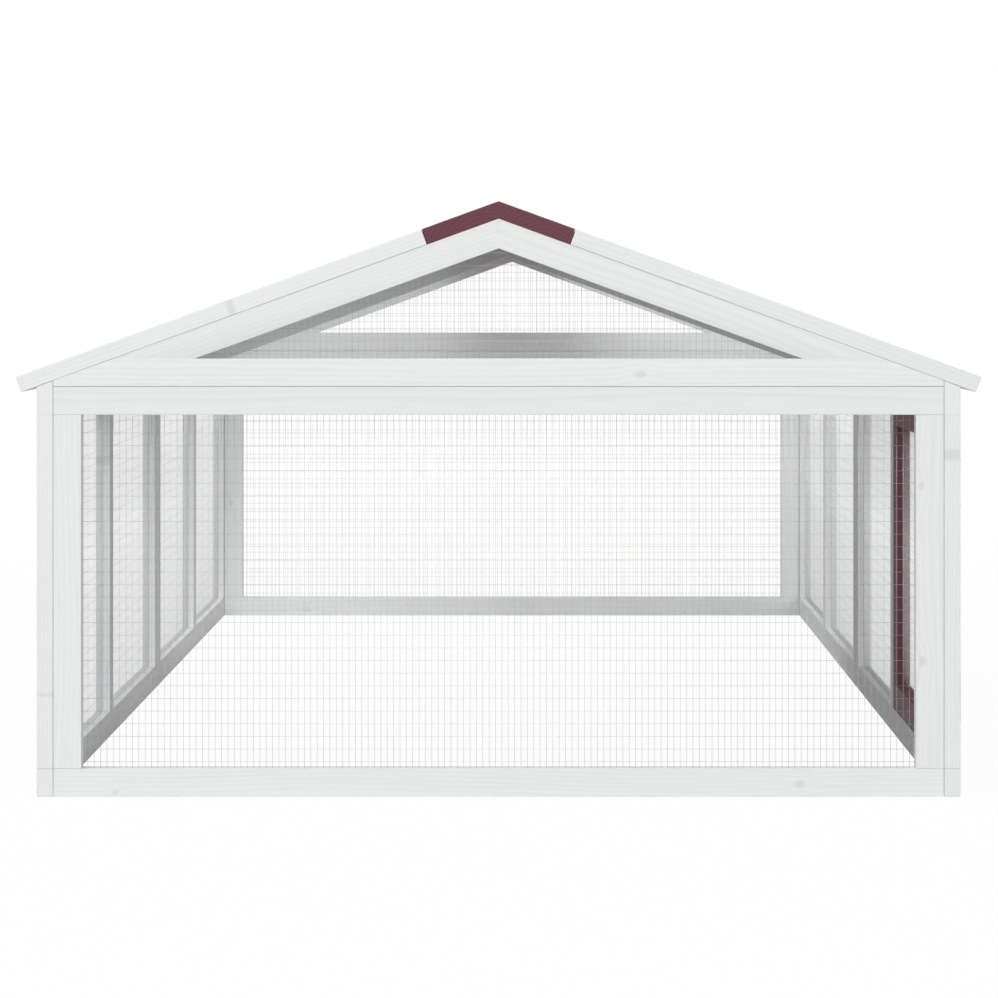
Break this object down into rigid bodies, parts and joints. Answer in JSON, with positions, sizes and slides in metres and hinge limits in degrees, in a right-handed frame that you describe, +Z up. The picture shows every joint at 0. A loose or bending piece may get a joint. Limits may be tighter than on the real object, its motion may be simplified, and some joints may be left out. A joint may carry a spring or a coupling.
{
  "type": "small animal enclosure",
  "caption": "Gable-roofed timber and wire mesh run for small animals, open to the ground, with a hinged side door, a slide bolt and roof lids hinged on a fixed ridge.",
  "frame": {"origin": "on the ground, at the middle of the footprint", "axes": "+Z up, +Y from the front gable to the rear one, +X towards the wall with the door"},
  "size_m": [0.9986, 1.78, 0.6159],
  "materials": {
    "whitewashed_fir": "thin white wash, matte",
    "mocha_fir": "dark red-brown stain, matte",
    "mesh_wire": "galvanised wire",
    "zinc_hardware": "zinc plated"
  },
  "bodies": {
    "run": {"front_bottom_rail": "whitewashed_fir", "front_top_rail": "whitewashed_fir", "front_stiles": "whitewashed_fir", "front_gable_rail": "whitewashed_fir", "front_gable_rafters": "whitewashed_fir", "front_mesh": "mesh_wire", "front_gable_mesh": "mesh_wire", "rear_bottom_rail": "whitewashed_fir", "rear_top_rail": "whitewashed_fir", "rear_stiles": "whitewashed_fir", "rear_gable_rail": "whitewashed_fir", "rear_gable_rafters": "whitewashed_fir", "rear_mesh": "mesh_wire", "rear_gable_mesh": "mesh_wire", "left_front_bottom_rail": "whitewashed_fir", "left_front_top_rail": "whitewashed_fir", "left_front_stiles": "whitewashed_fir", "left_front_mesh": "mesh_wire", "left_rear_bottom_rail": "whitewashed_fir", "left_rear_top_rail": "whitewashed_fir", "left_rear_stiles": "whitewashed_fir", "left_rear_mesh": "mesh_wire", "right_front_bottom_rail": "whitewashed_fir", "right_front_top_rail": "whitewashed_fir", "right_front_stiles": "whitewashed_fir", "right_front_mesh": "mesh_wire", "right_rear_bottom_rail": "whitewashed_fir", "right_rear_top_rail": "whitewashed_fir", "right_rear_stiles": "whitewashed_fir", "right_rear_mesh": "mesh_wire", "mid_rafters": "whitewashed_fir", "ridge_board_left": "mocha_fir", "ridge_board_right": "mocha_fir", "ridge_hinge_leaves": "zinc_hardware", "ridge_hinge_pins": "zinc_hardware", "door_hinge_wall_leaves": "zinc_hardware", "door_hinge_pins": "zinc_hardware", "bolt_keeper": "zinc_hardware", "corner_screws": "zinc_hardware", "ridge_screws": "zinc_hardware"},
    "door": {"door_rails": "mocha_fir", "door_stiles": "mocha_fir", "door_mesh": "mesh_wire", "door_hinge_door_leaves": "zinc_hardware", "bolt_plate": "zinc_hardware"},
    "bolt": {"slide_bolt": "zinc_hardware"},
    "lid_front_left": {"lid_front_left_frame": "whitewashed_fir", "lid_front_left_boards": "whitewashed_fir", "lid_front_left_hinge_leaves": "zinc_hardware"},
    "lid_front_right": {"lid_front_right_frame": "whitewashed_fir", "lid_front_right_boards": "whitewashed_fir", "lid_front_right_hinge_leaves": "zinc_hardware"},
    "lid_rear_left": {"lid_rear_left_frame": "whitewashed_fir", "lid_rear_left_mesh": "mesh_wire", "lid_rear_left_hinge_leaves": "zinc_hardware"},
    "lid_rear_right": {"lid_rear_right_frame": "whitewashed_fir", "lid_rear_right_mesh": "mesh_wire", "lid_rear_right_hinge_leaves": "zinc_hardware"}
  },
  "joints": [
    {"name": "door_swing", "type": "hinge", "parent": "run", "child": "door", "pos_m": [0.4798, -0.86, 0], "axis": [0, 0, -1], "range_deg": [0, 165]},
    {"name": "bolt_slide", "type": "slide", "parent": "door", "child": "bolt", "axis": [0, 1, 0], "range_m": [0, 0.014]},
    {"name": "lid_front_left_lift", "type": "hinge", "parent": "run", "child": "lid_front_left", "pos_m": [-0.08043, 0, 0.58906], "axis": [0, 1, 0], "range_deg": [0, 110]},
    {"name": "lid_front_right_lift", "type": "hinge", "parent": "run", "child": "lid_front_right", "pos_m": [0.08043, 0, 0.58906], "axis": [0, -1, 0], "range_deg": [0, 110]},
    {"name": "lid_rear_left_lift", "type": "hinge", "parent": "run", "child": "lid_rear_left", "pos_m": [-0.08043, 0, 0.58906], "axis": [0, 1, 0], "range_deg": [0, 110]},
    {"name": "lid_rear_right_lift", "type": "hinge", "parent": "run", "child": "lid_rear_right", "pos_m": [0.08043, 0, 0.58906], "axis": [0, -1, 0], "range_deg": [0, 110]}
  ]
}
